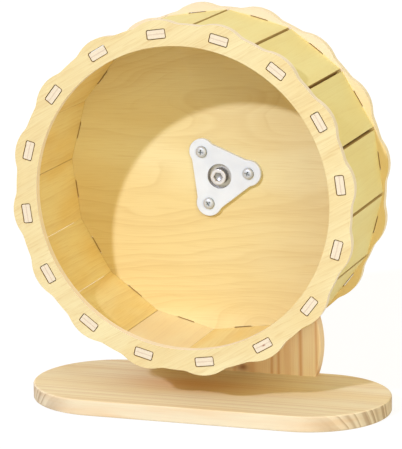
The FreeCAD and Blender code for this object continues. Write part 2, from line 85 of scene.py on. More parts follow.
class Finish:
    faceTurn = (0.5, 0.6)  # cosines over which an edge gives way to a face

    def __init__(self, name):
        self.material = bpy.data.materials.new(name)
        self.material.use_nodes = True
        self.tree = self.material.node_tree
        self.tree.nodes.clear()
        self.place = self.add("TexCoord")

    def add(self, kind, sockets=None, **settings):
        node = self.tree.nodes.new("ShaderNode" + kind)
        for key, value in settings.items():
            setattr(node, key, value)
        for key, value in (sockets or {}).items():
            self.feed(node.inputs[key], value)
        return node

    def feed(self, socket, value):
        if isinstance(value, bpy.types.NodeSocket):
            self.tree.links.new(value, socket)
        else:
            socket.default_value = value

    def math(self, operation, *values):
        return self.add("Math", dict(enumerate(values)), operation=operation).outputs[0]

    def space(self, origin, turn=0.0):  # millimetres from an origin, turned about Y
        back = Matrix.Rotation(turn, 3, "Y") @ origin / -millimetre
        sockets = {
            "Vector": self.place.outputs["Object"],
            "Location": back,
            "Rotation": (0, turn, 0),
            "Scale": (1 / millimetre,) * 3,
        }
        return self.add("Mapping", sockets).outputs[0]

    def split(self, vector):
        return self.add("SeparateXYZ", {0: vector}).outputs

    def join(self, x, y, z):
        return self.add("CombineXYZ", {0: x, 1: y, 2: z}).outputs[0]

    def scaled(self, vector, factors):
        return self.add("VectorMath", {0: vector, 1: factors}, operation="MULTIPLY").outputs[0]

    def stretch(self, values, lengths):  # a place, measured in its own length along each axis
        return self.scaled(self.join(*values), [1 / length for length in lengths])

    def measured(self, value, start, unit):  # distance beyond a start, in units
        return self.math("MULTIPLY_ADD", value, 1 / unit, -start / unit)

    def facing(self, direction):  # cosine between the surface and a fixed direction of the piece
        sockets = {0: self.place.outputs["Normal"], 1: direction}
        return self.add("VectorMath", sockets, operation="DOT_PRODUCT").outputs["Value"]

    def faces(self, direction):  # 1 where the surface faces along a direction
        return self.between(self.facing(direction), *self.faceTurn)

    def turnedTo(self, direction):  # the same, either way along it
        return self.between(self.math("ABSOLUTE", self.facing(direction)), *self.faceTurn)

    def reach(self, first, second):  # distance from an axis
        squares = self.math("MULTIPLY_ADD", first, first, self.math("MULTIPLY", second, second))
        return self.math("SQRT", squares)

    def bell(self, far):  # 1 at no distance, fading out on both sides
        return self.math("EXPONENT", self.share(far, self.share(far, -1.0)))

    def hill(self, first, second, middle, size):  # 1 at the middle, fading out round it
        far = [self.measured(*each) for each in zip((first, second), middle, size)]
        return self.bell(self.reach(*far))

    def noise(self, vector, detail=2.0, rough=0.5):
        sockets = {"Vector": vector, "Scale": 1.0, "Detail": detail, "Roughness": rough}
        return self.add("TexNoise", sockets).outputs["Fac"]

    def wander(self, value, step):  # slow change along one line
        sockets = {"W": self.share(value, 1 / step), "Scale": 1.0, "Detail": 2.0}
        return self.add("TexNoise", sockets, noise_dimensions="1D").outputs["Fac"]

    def ramp(self, value, stops):
        node = self.add("ValToRGB", {"Fac": value})
        node.color_ramp.interpolation = "EASE"
        points = node.color_ramp.elements
        while len(points) < len(stops):
            points.new(0.5)
        for point, (spot, shade) in zip(points, stops):
            point.position = spot
            point.color = (shade, shade, shade, 1)
        return node.outputs["Color"]

    def between(self, value, low, high):  # 0 at low, 1 at high, eased
        sockets = {"Value": value, "From Min": low, "From Max": high}
        return self.add("MapRange", sockets, interpolation_type="SMOOTHSTEP").outputs["Result"]

    def band(self, value, low, high):  # 1 between low and high
        above = self.math("GREATER_THAN", value, low)
        return self.share(above, self.math("LESS_THAN", value, high))

    def share(self, value, part):  # part of a value, or of a mask where another one holds
        return self.math("MULTIPLY", value, part)

    def mix(self, share, first, second):
        return self.add("Mix", {0: share, 6: first, 7: second}, data_type="RGBA").outputs[2]

    def tint(self, colour, mask, part, other):  # colour with part of another one where a mask holds
        return self.mix(self.share(mask, part), colour, other)

    def close(self, colour, grain, look, metal=0.0):  # its grain gives the surface relief and roughness
        bump = {"Height": grain, "Strength": 1.0, "Distance": look["relief"] * millimetre}
        sockets = {
            "Base Color": colour,
            "Roughness": self.math("MULTIPLY_ADD", grain, *look["roughness"]),
            "Normal": self.add("Bump", bump).outputs[0],
            "Specular IOR Level": look["specular"],
            "Metallic": metal,
        }
        shader = self.add("BsdfPrincipled", sockets)
        self.add("OutputMaterial", {"Surface": shader.outputs[0]})
        return self.material


def dress(node, material):
    for slot in nodes[node].material_slots:
        slot.material = material


# peeled veneer: its lines are the level lines of a field that is long in the grain's direction

def veneerLines(finish, along, across, depth, look):
    field = finish.stretch((along, depth, across), look["figureSize"])
    swell = finish.share(finish.noise(field, detail=1.6, rough=0.42), look["swing"])
    height = finish.math("MULTIPLY_ADD", across, 1 / look["lineStep"], swell)
    for middle, size, lift in look["swirls"]:
        height = finish.math("MULTIPLY_ADD", finish.hill(along, across, middle, size), lift, height)
    fine = finish.ramp(finish.math("FRACT", height), look["lineRise"])
    slow = finish.math("MULTIPLY_ADD", height, 1 / look["bandEvery"], look["bandStart"])
    bands = finish.ramp(finish.math("FRACT", slow), look["bandRise"])
    fade = finish.between(finish.noise(finish.scaled(field, look["fadeScale"])), *look["fadeSpan"])
    return finish.share(fine, fade), bands


def fibreStreaks(finish, along, across, depth, look):
    return finish.noise(finish.stretch((along, depth, across), look["fibreSize"]), detail=4, rough=0.62)


def veneer(finish, along, across, depth, look):  # colour and relief of a plywood face
    fine, bands = veneerLines(finish, along, across, depth, look)
    streaks = fibreStreaks(finish, along, across, depth, look)
    cloud = finish.noise(finish.stretch((along, depth, across), look["cloudSize"]))
    flecks = finish.noise(finish.stretch((along, depth, across), look["fleckSize"]), detail=1)
    layers = (
        (finish.between(streaks, *look["fibreSpan"]), look["fibreShare"]),
        (bands, look["bandShare"]),
        (fine, look["lineShare"]),
        (finish.between(flecks, *look["fleckSpan"]), look["fleckShare"]),
    )
    colour = finish.mix(finish.between(cloud, *look["cloudSpan"]), look["pale"], look["warm"])
    for layer, part in layers:
        colour = finish.tint(colour, layer, part, look["line"])
    return colour, streaks


def plyEdge(finish, through, look):  # cut edge: core between two thin veneers, from 0 to 1
    away = finish.math("ABSOLUTE", finish.math("SUBTRACT", through, 0.5))
    joint, half = look["joint"], look["jointHalf"]
    wood = finish.mix(finish.between(away, joint + half / 3, joint - half / 3), look["edge"], look["core"])
    glue = finish.ramp(away, ((joint - half, 0.0), (joint, 1.0), (joint + half, 0.0)))
    return finish.tint(wood, glue, look["glueShare"], look["glue"])


# scalloped ring and disc

ringLook = {
    "pale": paint(226, 210, 155),
    "warm": paint(222, 200, 141),
    "line": paint(194, 151, 88),
    "edge": paint(250, 238, 212),
    "core": paint(246, 228, 194),
    "glue": paint(172, 132, 94),
    "glueShare": 0.4,
    "joint": 0.3,  # from the board's middle to the glue line, as a share of its thickness
    "jointHalf": 0.03,
    # painted shade on the walls inside the slots
    "slotWallShade": paint(176, 132, 60),
    "slotBand": (95.5, 104.5),  # distances from the axle within which a wall belongs to a slot
    "grainTurn": math.radians(30),
    "figureSize": (120.0, 120.0, 26.0),  # each size is along, through and across the grain
    "swing": 4.0,
    "swirls": (),
    "lineStep": 4.6,
    "lineRise": ((0.0, 0.0), (0.5, 0.1), (0.82, 0.5), (0.93, 1.0), (1.0, 0.0)),  # slow start, sharp end
    "lineShare": 0.2,
    "fadeScale": (1.7, 1.0, 0.9),  # against the figure, for the places where lines fade
    "fadeSpan": (0.3, 0.7),
    "bandEvery": 4.0,
    "bandStart": 0.37,
    "bandRise": ((0.0, 0.0), (0.55, 0.0), (0.85, 0.45), (0.95, 1.0), (1.0, 0.0)),
    "bandShare": 0.14,
    "fibreSize": (26.0, 0.5, 0.5),
    "fibreSpan": (0.42, 0.75),
    "fibreShare": 0.2,
    "fleckSize": (11.0, 11.0, 0.8),
    "fleckSpan": (0.58, 0.72),
    "fleckShare": 0.22,
    "cloudSize": (60.0, 60.0, 22.0),
    "cloudSpan": (0.3, 0.7),
    "roughness": (0.2, 0.55),  # share of the fibres, and the least
    "relief": 0.04,
    "specular": 0.16,
}
discLook = dict(ringLook, **{
    "pale": paint(233, 215, 153),
    "warm": paint(228, 204, 136),
    "line": paint(190, 143, 72),
    "edge": paint(252, 236, 196),
    "core": paint(252, 234, 190),
    "glueShare": 0.15,
    # painted shade on the walls inside the slots
    "slotWallShade": paint(206, 158, 84),
    "rim": (paint(222, 195, 129), paint(228, 209, 174)),  # painted shade low on the board and painted light high on it
    "rimBand": (102.0, 104.0),  # distances from the axle over which the face turns to the rim's tone
    "rimRise": (10.0, 100.0),
    "grainTurn": math.radians(1),
    "figureSize": (130.0, 130.0, 34.0),
    "swing": 8.0,
    # arched grain at the top, and the tip of a cathedral low on the right: middle, size, lift in lines
    "swirls": (((10.0, 62.0), (62.0, 34.0), -3.6), ((24.0, -96.0), (25.0, 17.0), -6.5)),
    "lineStep": 8.0,
    "fibreShare": 0.14,
    "fleckSize": (24.0, 24.0, 0.7),
    "fleckShare": 0.12,
    "cloudSize": (150.0, 150.0, 40.0),
})


def boardFinish(name, node, look):
    finish = Finish(name)
    along, depth, across = finish.split(finish.space(axle, look["grainTurn"]))
    face, streaks = veneer(finish, along, across, depth, look)
    front, back = lowOf(node, "Y"), highOf(node, "Y")
    through = finish.measured(depth, front, back - front)
    reach = finish.reach(along, across)
    if "rim" in look:  # painted light and shade round the outside of the slats, on the drum's side
        outside = finish.share(finish.between(reach, *look["rimBand"]), finish.faces((0, -1, 0)))
        rimLightAndShade = finish.mix(finish.between(across, *look["rimRise"]), *look["rim"])
        face = finish.mix(outside, face, rimLightAndShade)
    inSlot = finish.band(reach, *look["slotBand"])
    wall = finish.mix(inSlot, plyEdge(finish, through, look), look["slotWallShade"])
    colour = finish.mix(finish.turnedTo((0, 1, 0)), wall, face)
    return finish.close(colour, streaks, look)


dress("front_ring", boardFinish("ringPlywood", "front_ring", ringLook))
dress("rear_disc", boardFinish("discPlywood", "rear_disc", discLook))
print("ring and disc dressed")


# running slats: grain along the axle, and each board from its own place in the sheet

slatLook = dict(ringLook, **{
    "pale": paint(240, 221, 155),
    "warm": paint(237, 209, 133),
    "line": paint(202, 154, 76),
    "outside": paint(245, 235, 160),
    "outsideShare": 0.55,
    "cheek": paint(204, 176, 114),
    "cheekDeep": paint(190, 157, 96),
    "cheekRise": (-0.4, 1.4),  # painted shade on the board's sides, from the deep tone to the other, out from the board's middle
    # painted shade on the tenon's sides inside the disc
    "rearCheekShade": paint(206, 158, 84),
    "paleSlat": "slat_10",  # paler than the other slats
    "paleTone": paint(240, 226, 196),
    "paleShare": 0.4,
    "seam": paint(142, 100, 44),  # painted shade along the seams on the running side
    "seamWidth": 0.45,
    "seamShare": 0.4,
    "cleanSeams": (9, 11, 12, 14),  # numbers of the slats before the seams that get no painted shade
    "rearWidth": 0.9,  # painted shade on the running side where the slat meets the disc
    "rearShare": 0.22,
    "figureSize": (90.0, 90.0, 16.0),
    "swing": 3.4,
    "lineStep": 4.0,
    "bandShare": 0.18,
    "fibreShare": 0.18,
    "fleckSize": (18.0, 18.0, 0.6),
    "fleckShare": 0.14,
    "sheetStep": 137.0,  # along the grain, from one board's place in the sheet to the next
    "end": paint(225, 210, 177),
    "endScale": (0.9, 0.05, 2.0),  # across, along and through the tenon
    "mottleSpan": (0.35, 0.65),
    "mottleShare": 0.12,
    "endLine": paint(192, 162, 132),
    "endLineWidth": 0.3,
    "endLineShare": 0.5,
    "markedSlat": "slat_08",  # its front tenon has a small knot
    "mark": ((-0.6, 0.3), (1.0, 0.45)),  # middle on the tenon and size
    "markColour": paint(150, 84, 58),
})


# painted shade along the inner seams and at the slat's joint with the disc
def paintedSeamShade(finish, board, number, half, across, depth, inner):
    look = slatLook
    start = half - look["seamWidth"]
    for side, seam in ((1, number), (-1, number - 1)):
        if seam not in look["cleanSeams"]:
            edge = finish.between(finish.share(across, side), start, start + look["seamWidth"] / 2)
            board = finish.tint(board, finish.share(inner, edge), look["seamShare"], look["seam"])
    start = lowOf("rear_disc", "Y") - look["rearWidth"]
    atDisc = finish.between(depth, start, start + look["rearWidth"] / 2)
    return finish.tint(board, finish.share(inner, atDisc), look["rearShare"], look["seam"])


def tenonEnd(finish, node, across, depth, layer):  # mottled end grain with a broken glue line
    look = slatLook
    broken = finish.noise(finish.scaled(finish.join(across, depth, layer), look["endScale"]))
    mottle = finish.between(broken, *look["mottleSpan"])
    end = finish.tint(look["end"], mottle, look["mottleShare"], look["endLine"])
    thin = finish.share(broken, 2 * look["endLineWidth"])
    centreLine = finish.math("LESS_THAN", finish.math("ABSOLUTE", layer), thin)
    end = finish.tint(end, centreLine, look["endLineShare"], look["endLine"])
    if node == look["markedSlat"]:
        atFront = finish.math("LESS_THAN", depth, 0.0)
        mark = finish.hill(across, layer, *look["mark"])
        end = finish.tint(end, mark, atFront, look["markColour"])
    return end


def slatFinish(node):
    look = slatLook
    number = int(node[-2:])
    finish = Finish("plywood_" + node)
    middle = middleOf(node)
    turn = turnOf(middle)
    radius = (middle - axle).xz.length / millimetre
    outward = Vector((math.sin(turn), 0, math.cos(turn)))
    sideways = Vector((math.cos(turn), 0, -math.sin(turn)))
    half = max((vertex.co - axle).dot(sideways) for vertex in nodes[node].data.vertices) / millimetre
    across, depth, height = finish.split(finish.space(axle, -turn))
    layer = finish.math("SUBTRACT", height, radius)
    along = finish.math("ADD", depth, look["sheetStep"] * number)
    board, streaks = veneer(finish, along, across, layer, look)
    if node == look["paleSlat"]:
        board = finish.mix(look["paleShare"], board, look["paleTone"])
    board = finish.tint(board, finish.faces(outward), look["outsideShare"], look["outside"])
    board = paintedSeamShade(finish, board, number, half, across, depth, finish.faces(-outward))
    # painted shade on the sides in the grooves between slats
    cheek = finish.mix(finish.between(layer, *look["cheekRise"]), look["cheekDeep"], look["cheek"])
    board = finish.mix(finish.turnedTo(sideways), board, cheek)
    # painted shade on the tenons' sides inside the ring's and the disc's slots
    inRing = finish.math("LESS_THAN", depth, highOf("front_ring", "Y"))
    board = finish.mix(inRing, board, look["slotWallShade"])
    inDisc = finish.math("GREATER_THAN", depth, lowOf("rear_disc", "Y"))
    board = finish.mix(inDisc, board, look["rearCheekShade"])
    end = tenonEnd(finish, node, across, depth, layer)
    colour = finish.mix(finish.turnedTo((0, 1, 0)), board, end)
    return finish.close(colour, streaks, look)


slatNodes = sorted(name for name in nodes if name.startswith("slat_"))
for slatNode in slatNodes:
    dress(slatNode, slatFinish(slatNode))
print("slats dressed:", len(slatNodes))


# pine base board: growth rings round a heart in front of it and below, so they lean a little in its ends

pineLook = {
    "toneSpan": (0.35, 0.65),
    "fibreSpan": (0.45, 0.75),
    "roughness": (0.2, 0.55),  # share of the fibres, and the least
    "relief": 0.05,
    "specular": 0.18,
}
baseLook = dict(pineLook, **{
    "pale": paint(237, 222, 181),
    "warm": paint(234, 212, 162),
    "late": paint(200, 150, 96),
    "side": paint(225, 209, 170),
    "sideWarm": paint(222, 194, 149),
    "sideSize": (60.0, 25.0, 6.0),  # of the side's clouds: along, across and through the board
    "sideSpan": (0.3, 0.75),
    "sideFibreShare": 0.5,
    "heart": Vector((0.0, -0.26, -0.11)),
    "red": paint(219, 157, 92),  # painted warm shade under the drum
    "drumShadePlace": ((-14.0, 3.0), (42.0, 16.0)),  # middle along X and Y, and size
    "drumShadeShare": 0.65,
    "slowSize": (120.0, 30.0, 30.0),
    "bend": 5.0,
    "ringStep": 6.5,
    "jitter": 2.4,
    "jitterStep": 11.0,
    "lateRise": ((0.0, 0.0), (0.55, 0.08), (0.85, 0.5), (0.94, 1.0), (1.0, 0.0)),
    "lateShare": 0.38,
    "endDark": paint(146, 106, 66),
    "endRise": ((0.0, 0.0), (0.3, 0.2), (0.6, 0.75), (0.92, 1.0), (1.0, 0.0)),
    "endShare": 0.66,
    "endTurn": (0.1, 0.75),  # cosines over which the side gives way to the end
    "strongStep": 7.0,  # some rings are stronger than others
    "strongSpan": (0.28, 0.55),
    "fibreSize": (34.0, 0.45, 0.45),
    "fibreShare": 0.26,
})


def baseFinish():
    look = baseLook
    finish = Finish("pineBase")
    along, across, depth = finish.split(finish.space(look["heart"]))
    slow = finish.noise(finish.stretch((along, across, depth), look["slowSize"]))
    ringReach = finish.math("MULTIPLY_ADD", slow, look["bend"], finish.reach(across, depth))
    uneven = finish.share(finish.wander(ringReach, look["jitterStep"]), look["jitter"])
    saw = finish.math("FRACT", finish.math("MULTIPLY_ADD", ringReach, 1 / look["ringStep"], uneven))
    streaks = fibreStreaks(finish, along, across, depth, look)
    fibre = finish.share(finish.between(streaks, *look["fibreSpan"]), look["fibreShare"])
    top = finish.mix(finish.between(slow, *look["toneSpan"]), look["pale"], look["warm"])
    # painted warm shade under the drum
    onBoard = finish.split(finish.space(Vector()))
    underDrumShade = finish.hill(onBoard[0], onBoard[1], *look["drumShadePlace"])
    top = finish.tint(top, underDrumShade, look["drumShadeShare"], look["red"])
    top = finish.mix(fibre, top, look["late"])
    top = finish.tint(top, finish.ramp(saw, look["lateRise"]), look["lateShare"], look["late"])
    cloud = finish.noise(finish.stretch((along, across, depth), look["sideSize"]))
    side = finish.mix(finish.between(cloud, *look["sideSpan"]), look["side"], look["sideWarm"])
    side = finish.tint(side, fibre, look["sideFibreShare"], look["late"])
    strong = finish.between(finish.wander(ringReach, look["strongStep"]), *look["strongSpan"])
    endLate = finish.share(finish.ramp(saw, look["endRise"]), strong)
    endCut = finish.tint(side, endLate, look["endShare"], look["endDark"])
    atEnd = finish.between(finish.math("ABSOLUTE", finish.facing((1, 0, 0))), *look["endTurn"])
    colour = finish.mix(finish.turnedTo((0, 0, 1)), finish.mix(atEnd, side, endCut), top)
    return finish.close(colour, streaks, look)


# pine upright: grain up the board, with dark late wood where the rings come to the face

uprightLook = dict(pineLook, **{
    "pale": paint(253, 232, 192),
    "warm": paint(252, 218, 169),
    "late": paint(212, 146, 82),
    "slowSize": (34.0, 40.0, 95.0),  # along X, Y and Z
    "bend": 5.0,
    # place along X, half width and strength of each dark streak
    "streaks": (
        (-56.0, 0.9, 0.5), (-47.0, 1.6, 0.45), (-33.0, 1.2, 0.6), (-26.5, 0.8, 0.4), (-12.0, 2.4, 0.35),
        (3.0, 1.4, 0.4), (15.0, 2.6, 0.35), (27.8, 1.0, 0.6), (32.2, 1.1, 0.6), (38.0, 2.4, 0.25),
        (46.2, 1.2, 0.65), (56.7, 0.9, 0.5),
    ),
    "knot": ((8.4, 13.0), (3.4, 2.4)),  # middle along X and Z, and size
    "knotColour": paint(150, 84, 48),
    "knotShare": 0.8,
    "fibreSize": (40.0, 0.6, 0.6),
    "fibreShare": 0.2,
})


def uprightFinish():
    look = uprightLook
    finish = Finish("pineUpright")
    across, depth, along = finish.split(finish.space(Vector()))
    slow = finish.noise(finish.stretch((across, depth, along), look["slowSize"]))
    bent = finish.math("MULTIPLY_ADD", finish.math("SUBTRACT", slow, 0.5), look["bend"], across)
    streaks = fibreStreaks(finish, along, across, depth, look)
    fibre = finish.between(streaks, *look["fibreSpan"])
    colour = finish.mix(finish.between(slow, *look["toneSpan"]), look["pale"], look["warm"])
    colour = finish.tint(colour, fibre, look["fibreShare"], look["late"])
    for spot, wide, strength in look["streaks"]:
        line = finish.bell(finish.measured(bent, spot, wide))
        colour = finish.tint(colour, line, strength, look["late"])
    knot = finish.hill(across, along, *look["knot"])
    colour = finish.tint(colour, knot, look["knotShare"], look["knotColour"])
    return finish.close(colour, streaks, look)


dress("base_board", baseFinish())
dress("upright", uprightFinish())
print("stand dressed")


# moulded hub plate

hubLook = {
    "white": paint(224, 227, 219),
    "grey": paint(217, 220, 213),
    "holeWallShade": paint(198, 192, 180),  # painted shade on the wall of the hole round the bolt
    "holeReach": 8.0,
    "cloudScale": (0.08, 0.08, 0.08),
    "cloudSpan": (0.35, 0.7),
    "grainScale": (2.5, 2.5, 2.5),
    "roughness": (0.16, 0.32),  # share of the grain, and the least
    "relief": 0.01,
    "specular": 0.4,
}


def hubFinish():
    look = hubLook
    finish = Finish("hubPlastic")
    place = finish.space(axle)
    grain = finish.noise(finish.scaled(place, look["grainScale"]), detail=3)
    cloud = finish.noise(finish.scaled(place, look["cloudScale"]))
    colour = finish.mix(finish.between(cloud, *look["cloudSpan"]), look["white"], look["grey"])
    spot = finish.split(place)
    # painted shade on the wall of the hole
    inHole = finish.math("LESS_THAN", finish.reach(spot[0], spot[2]), look["holeReach"])
    wall = finish.mix(inHole, colour, look["holeWallShade"])
    colour = finish.mix(finish.turnedTo((0, 1, 0)), wall, colour)
    return finish.close(colour, grain, look)


dress("hub_flange", hubFinish())


# metal: brushed by noise, with painted shade in recesses

brushLook = {
    "cloudScale": (0.5, 0.5, 0.5),
    "scratchScale": (3.0, 0.6, 3.0),
    "scratchShare": 0.18,  # of the scratches in the roughness
    "relief": 0.006,
    "specular": 0.5,
}
metalLooks = {  # bright and dull tone, least roughness and share of metal
    "zincSteel": (paint(206, 205, 200), paint(176, 175, 170), 0.24, 1.0),
    "ballSteel": (paint(222, 222, 222), paint(204, 204, 206), 0.1, 1.0),
    "pressedSteel": (paint(226, 220, 202), paint(204, 198, 180), 0.3, 0.5),
    "turnedAluminium": (paint(216, 217, 219), paint(200, 201, 203), 0.28, 1.0),
}
metalNodes = {
    "zincSteel": ("base_screws", "axle_washer", "axle_nut"),
    "ballSteel": ("bearing_inner_race", "bearing_outer_race", "bearing_balls"),
    "pressedSteel": ("bearing_shield_front", "bearing_shield_rear", "bearing_cage"),
    "turnedAluminium": ("axle_spacer",),
}


def metalFinish(name, bright, dull, roughness, metal, recess=None, shade=None):
    look = dict(brushLook, roughness=(brushLook["scratchShare"], roughness))
    finish = Finish(name)
    place = finish.space(axle)
    cloud = finish.noise(finish.scaled(place, look["cloudScale"]), detail=3)
    scratch = finish.noise(finish.scaled(place, look["scratchScale"]), detail=4, rough=0.7)
    colour = finish.mix(cloud, bright, dull)
    if recess:
        colour = finish.mix(recess(finish, finish.split(place)), colour, shade)
    return finish.close(colour, scratch, look, metal)


metals = {name: metalFinish(name, *look) for name, look in metalLooks.items()}
for metalName, metalParts in metalNodes.items():
    for metalNode in metalParts:
        dress(metalNode, metals[metalName])
print("hub, bearing and axle dressed")


# turned fasteners: a profile of places along Y and radii, in millimetres, swept round Y

def meshOf(name, build):  # a bmesh made into a mesh, with its faces turned outwards
    bmesh.ops.recalc_face_normals(build, faces=build.faces)
    mesh = bpy.data.meshes.new(name)
    build.to_mesh(mesh)
    build.free()
    return mesh


def turnedMesh(name, profile, steps, shape=None):
    build = bmesh.new()
    rows = []
    for along, radius in profile:
        if radius == 0:
            rows.append([build.verts.new((0, along * millimetre, 0))] * steps)
            continue
        row = []
        for step in range(steps):
            turn = math.tau * step / steps
            wide = (shape(along, radius, turn) if shape else radius) * millimetre
            row.append(build.verts.new((wide * math.sin(turn), along * millimetre, wide * math.cos(turn))))
        rows.append(row)
    for first, second in zip(rows, rows[1:]):
        for step in range(steps):
            corners = [first[step], first[step - 1], second[step - 1], second[step]]
            build.faces.new(dict.fromkeys(corners))
    return meshOf(name, build)


def prismMesh(name, outlines):  # closed solid through outlines of equal counts, each at its place along Y
    build = bmesh.new()
    rows = [[build.verts.new((x * millimetre, along * millimetre, z * millimetre)) for x, z in outline]
            for along, outline in outlines]
    for first, second in zip(rows, rows[1:]):
        for step in range(len(first)):
            build.faces.new((first[step - 1], first[step], second[step], second[step - 1]))
    build.faces.new(rows[0])
    build.faces.new(rows[-1])
    return meshOf(name, build)


def carve(mesh, cutters):  # a mesh with other closed meshes taken out of it
    stock = bpy.data.objects.new("stock", mesh)
    bpy.context.collection.objects.link(stock)
    tools = []
    for cutter in cutters:
        tool = bpy.data.objects.new("tool", cutter)
        bpy.context.collection.objects.link(tool)
        cut = stock.modifiers.new("cut", "BOOLEAN")
        cut.operation = "DIFFERENCE"
        cut.solver = "EXACT"
        cut.object = tool
        tools.append(tool)
    bpy.context.view_layer.update()
    carved = bpy.data.meshes.new_from_object(stock.evaluated_get(bpy.context.evaluated_depsgraph_get()))
    for piece in (stock, *tools):
        bpy.data.objects.remove(piece)
    return carved


def addPiece(name, mesh, material, body, slot, *replaced):
    for face in mesh.polygons:
        face.use_smooth = True
    mesh.set_sharp_from_angle(angle=math.radians(32))
    mesh.materials.clear()
    mesh.materials.append(material)
    piece = bpy.data.objects.new(name, mesh)
    bpy.context.collection.objects.link(piece)
    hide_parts(*replaced)
    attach(piece, body)


def arcPoints(middle, radii, count):  # quarter of an ellipse, outwards from its end, as profile points
    points = []
    for step in range(count + 1):
        turn = math.radians(90 - 90 * step / count)
        points.append((middle[0] + radii[0] * math.sin(turn), middle[1] + radii[1] * math.cos(turn)))
    return points


def triangleWave(value):  # 0 to 1 and back
    return abs(value % 1.0 - 0.5) * 2


# axle bolt: knurled socket head, plain shank and a rolled thread at the end

boltLook = {
    "steel": (paint(232, 228, 218), paint(210, 206, 196), 0.2, 0.6),
    "shade": paint(52, 50, 46),
    "shadeStart": (0.2, 1.2),  # depths below the face over which the shade begins
    "sideShade": (0.3, 0.65),  # more of it in the grooves, and the least
    "socketShade": 0.45,
    "headHeight": 6.0,
    "edge": 0.5,
    "edgeSteps": 6,
    "underEdge": 0.1,
    "knurlCount": 32,
    "knurlSteps": 3,  # corners in one tooth
    "knurlDepth": 0.24,
    "knurlEnd": 1.0,  # smooth collar at both ends of the knurl
    "knurlRun": 0.15,
    "socketAcross": 5.0,
    "socketDepth": 3.0,
    "socketMouth": (1.12, 0.35),  # widening at the face, and its depth
    "socketPoint": (0.25, 0.9),  # narrowing beyond the floor, and its depth
    "cutStart": 0.3,  # in front of the face
    "shankRadius": 2.95,
    "threadLength": 12.0,
    "threadPitch": 1.0,
    "threadDepth": 0.5,
    "threadRows": 6,  # rows of corners in one turn
}


def socketMesh(face):
    look = boltLook
    corner = look["socketAcross"] / math.sqrt(3)
    turns = [math.radians(turn) for turn in range(0, 360, 60)]

    def hexagon(share):
        return [(corner * math.cos(turn) * share, corner * math.sin(turn) * share) for turn in turns]

    mouth, mouthDepth = look["socketMouth"]
    point, pointDepth = look["socketPoint"]
    floor = face + look["socketDepth"]
    outlines = [
        (face - look["cutStart"], hexagon(mouth)),
        (face, hexagon(mouth)),
        (face + mouthDepth, hexagon(1)),
        (floor, hexagon(1)),
        (floor + pointDepth, hexagon(point)),
    ]
    return prismMesh("socket", outlines)


def boltMesh():
    look = boltLook
    face, end = lowOf("axle_bolt", "Y"), highOf("axle_bolt", "Y")
    headRadius = radiusOf("axle_bolt")
    under = face + look["headHeight"]
    knurlLow, knurlHigh = face + look["knurlEnd"], under - look["knurlEnd"] / 2
    threadStart = end - look["threadLength"]
    shank, edge, underEdge = look["shankRadius"], look["edge"], look["underEdge"]

    def shape(along, radius, turn):
        if knurlLow <= along <= knurlHigh and radius > shank + edge:
            return radius - look["knurlDepth"] * triangleWave(look["knurlCount"] * turn / math.tau)
        if threadStart < along < end:
            wave = triangleWave(along / look["threadPitch"] - turn / math.tau)
            run = min(1.0, (along - threadStart) / look["threadPitch"])
            return radius - look["threadDepth"] * wave * run * radius / shank
        return radius

    profile = [(face, 0), *arcPoints((face + edge, headRadius - edge), (-edge, edge), look["edgeSteps"])]
    profile += [(knurlLow - look["knurlRun"], headRadius), (knurlLow, headRadius)]
    profile += [(knurlHigh, headRadius), (knurlHigh + look["knurlRun"], headRadius)]
    profile += [(under - underEdge, headRadius), (under, headRadius - underEdge), (under, shank)]
    step = look["threadPitch"] / look["threadRows"]
    count = round((look["threadLength"] - edge) / step)
    profile += [(threadStart + step * row, shank) for row in range(count + 1)]
    profile += [(end - edge, shank), (end, shank - edge), (end, 0)]
    mesh = turnedMesh("axleBolt", profile, look["knurlSteps"] * look["knurlCount"], shape)
    mesh = carve(mesh, [socketMesh(face)])
    mesh.transform(Matrix.Translation((axle.x, 0, axle.z)))
    return mesh


def boltRecess(finish, place):  # painted shade in the socket and round the knurled side, deepest in its grooves
    look = boltLook
    reach = finish.reach(place[0], place[2])
    face = lowOf("axle_bolt", "Y")
    headRadius = radiusOf("axle_bolt")
    inHead = finish.math("LESS_THAN", place[1], face + look["headHeight"] - look["edge"])
    sunk = finish.between(place[1], *(face + depth for depth in look["shadeStart"]))
    below = finish.share(sunk, inHead)
    inSocket = finish.share(finish.math("LESS_THAN", reach, look["shankRadius"]), below)
    onSide = finish.share(finish.math("GREATER_THAN", reach, headRadius - look["edge"]), below)
    groove = finish.between(reach, headRadius, headRadius - look["knurlDepth"])
    sideShade = finish.share(finish.math("MULTIPLY_ADD", groove, *look["sideShade"]), onSide)
    return finish.math("MAXIMUM", finish.share(inSocket, look["socketShade"]), sideShade)


boltSteel = metalFinish("boltSteel", *boltLook["steel"], boltRecess, boltLook["shade"])
addPiece("axleBolt", boltMesh(), boltSteel, "stand", "bolt_steel", "axle_bolt")
print("axle bolt made")


# hub screws: domed heads with a tapered cross recess

screwLook = {
    "count": 3,
    "steel": (paint(210, 212, 206), paint(184, 187, 180), 0.32, 0.3),
    "shade": paint(88, 96, 92),
    "crossShade": 0.8,
    "crossShadeStart": (0.35, 0.9),  # depths below the top over which the shade begins
    "crossShadeTurn": (0.35, 0.1),  # cosines over which a wall is steep enough for it
    "rimShade": 0.95,
    "rimShadeStart": (0.9, 0.2),  # heights over the seat
    "steps": 36,
    "headRadius": 3.6,
    "headHeight": 2.2,
    "skirt": 0.55,  # straight part of the head above the plate
    "crown": 0.34,  # flat middle of the head, as a share of its radius
    "domeSteps": 9,
    "underEdge": 0.12,
    "shankRadius": 1.5,
    "plainLength": 0.3,  # between the head and the thread
    "threadPitch": 1.2,
    "threadDepth": 0.35,
    "threadRows": 5,
    "crossReach": (2.0, 0.55),  # at the top and at the bottom of the recess
    "crossHalf": (0.5, 0.28),
    "crossDepth": 1.55,
    "crossTurns": (20.0, 52.0, 4.0),  # how each screw happened to stop, in degrees
    "cutStart": 0.2,
}


